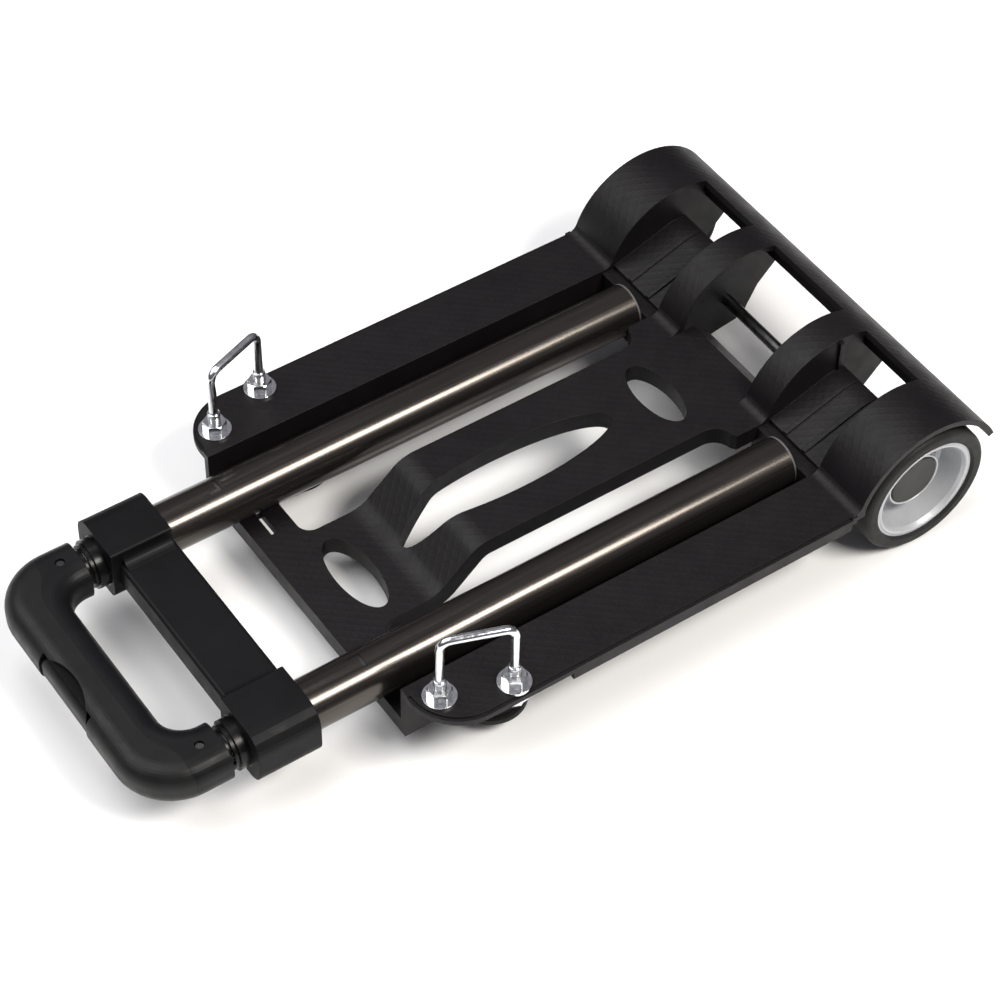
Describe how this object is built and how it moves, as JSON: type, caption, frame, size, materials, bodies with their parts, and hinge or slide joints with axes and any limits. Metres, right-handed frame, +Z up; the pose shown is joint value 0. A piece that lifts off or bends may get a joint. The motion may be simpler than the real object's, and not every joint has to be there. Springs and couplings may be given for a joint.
{
  "type": "hand truck",
  "caption": "Compact luggage hand truck lying flat: wheeled plastic chassis, telescoping tubular handle with a release button, tie-down U-bolts and rubber feet.",
  "frame": {"origin": "on the floor, under the middle of the truck's overall length and width", "axes": "+Z up; +Y from the handle to the wheels, along the tubes; +X to the truck's right side, along the axle"},
  "size_m": [0.23, 0.434, 0.0851],
  "materials": {
    "frame_black": "fine diamond emboss, satin",
    "housing_black": "fine grain, satin",
    "tube_black": "black anodised, brushed along the tube",
    "stage_grey": "satin anodised",
    "ferrule_black": "smooth",
    "bush_plastic": "as moulded",
    "grip_rubber": "soft-touch, fine grain",
    "core_plastic": "satin",
    "button_plastic": "satin",
    "zinc_steel": "bright zinc plate",
    "dark_steel": "black oxide",
    "spring_steel": "bright wire",
    "foot_rubber": "moulded",
    "tyre_grey": "smooth tread",
    "rim_silver": "silver grey, satin",
    "cap_grey": "satin"
  },
  "bodies": {
    "base": {"side_rail_left": "frame_black", "side_rail_right": "frame_black", "center_plate": "frame_black", "wheel_housing": "frame_black", "outer_tube_left": "tube_black", "outer_tube_right": "tube_black", "tube_end_plugs": "bush_plastic", "tube_clips": "dark_steel", "cross_housing": "housing_black", "cross_housing_screws": "dark_steel", "outer_ferrules": "ferrule_black", "u_bolt_left": "zinc_steel", "u_bolt_right": "zinc_steel", "top_washers": "zinc_steel", "top_nuts": "zinc_steel", "bottom_washers": "zinc_steel", "bottom_nuts": "zinc_steel", "foot_left": "foot_rubber", "foot_right": "foot_rubber", "foot_screws": "zinc_steel", "axle": "dark_steel", "axle_washers": "zinc_steel", "axle_clips": "spring_steel"},
    "stage_a": {"stage_a_tubes": "stage_grey", "stage_a_ferrules": "ferrule_black", "stage_a_bushes": "bush_plastic"},
    "stage_b": {"stage_b_tubes": "stage_grey", "stage_b_ferrules": "ferrule_black", "stage_b_bushes": "bush_plastic"},
    "handle": {"stage_c_tubes": "stage_grey", "stage_c_plugs": "bush_plastic", "handle_core": "core_plastic", "handle_grip": "grip_rubber", "handle_screws": "dark_steel", "button_springs": "spring_steel"},
    "release": {"push_button": "button_plastic", "release_yoke": "bush_plastic", "push_rods": "spring_steel"},
    "lock_pin_left": {"lock_pin_left": "spring_steel"},
    "lock_pin_right": {"lock_pin_right": "spring_steel"},
    "wheel_left": {"tyre_left": "tyre_grey", "rim_left": "rim_silver", "hub_bush_left": "bush_plastic", "hub_cap_left": "cap_grey"},
    "wheel_right": {"tyre_right": "tyre_grey", "rim_right": "rim_silver", "hub_bush_right": "bush_plastic", "hub_cap_right": "cap_grey"}
  },
  "joints": [
    {"name": "stage_a_slide", "type": "slide", "parent": "base", "child": "stage_a", "axis": [0, -1, 0], "range_m": [0, 0.22]},
    {"name": "stage_b_slide", "type": "slide", "parent": "stage_a", "child": "stage_b", "axis": [0, -1, 0], "range_m": [0, 0.22]},
    {"name": "stage_c_slide", "type": "slide", "parent": "stage_b", "child": "handle", "axis": [0, -1, 0], "range_m": [0, 0.22]},
    {"name": "button_press", "type": "slide", "parent": "handle", "child": "release", "axis": [0, 1, 0], "range_m": [0, 0.004], "stiffness_N_per_m": 2000, "springref_m": -0.001, "deforming": ["button_springs"]},
    {"name": "lock_pin_left_slide", "type": "slide", "parent": "handle", "child": "lock_pin_left", "axis": [1, 0, 0], "range_m": [0, 0.002]},
    {"name": "lock_pin_right_slide", "type": "slide", "parent": "handle", "child": "lock_pin_right", "axis": [-1, 0, 0], "range_m": [0, 0.002]},
    {"name": "wheel_left_spin", "type": "hinge", "parent": "base", "child": "wheel_left", "pos_m": [-0.1028, 0.17883, 0.0353], "axis": [1, 0, 0], "continuous": true},
    {"name": "wheel_right_spin", "type": "hinge", "parent": "base", "child": "wheel_right", "pos_m": [0.1028, 0.17883, 0.0353], "axis": [1, 0, 0], "continuous": true}
  ],
  "couplings": [
    {"joint": "lock_pin_left_slide", "follows": "button_press", "ratio": 0.5},
    {"joint": "lock_pin_right_slide", "follows": "button_press", "ratio": 0.5}
  ]
}
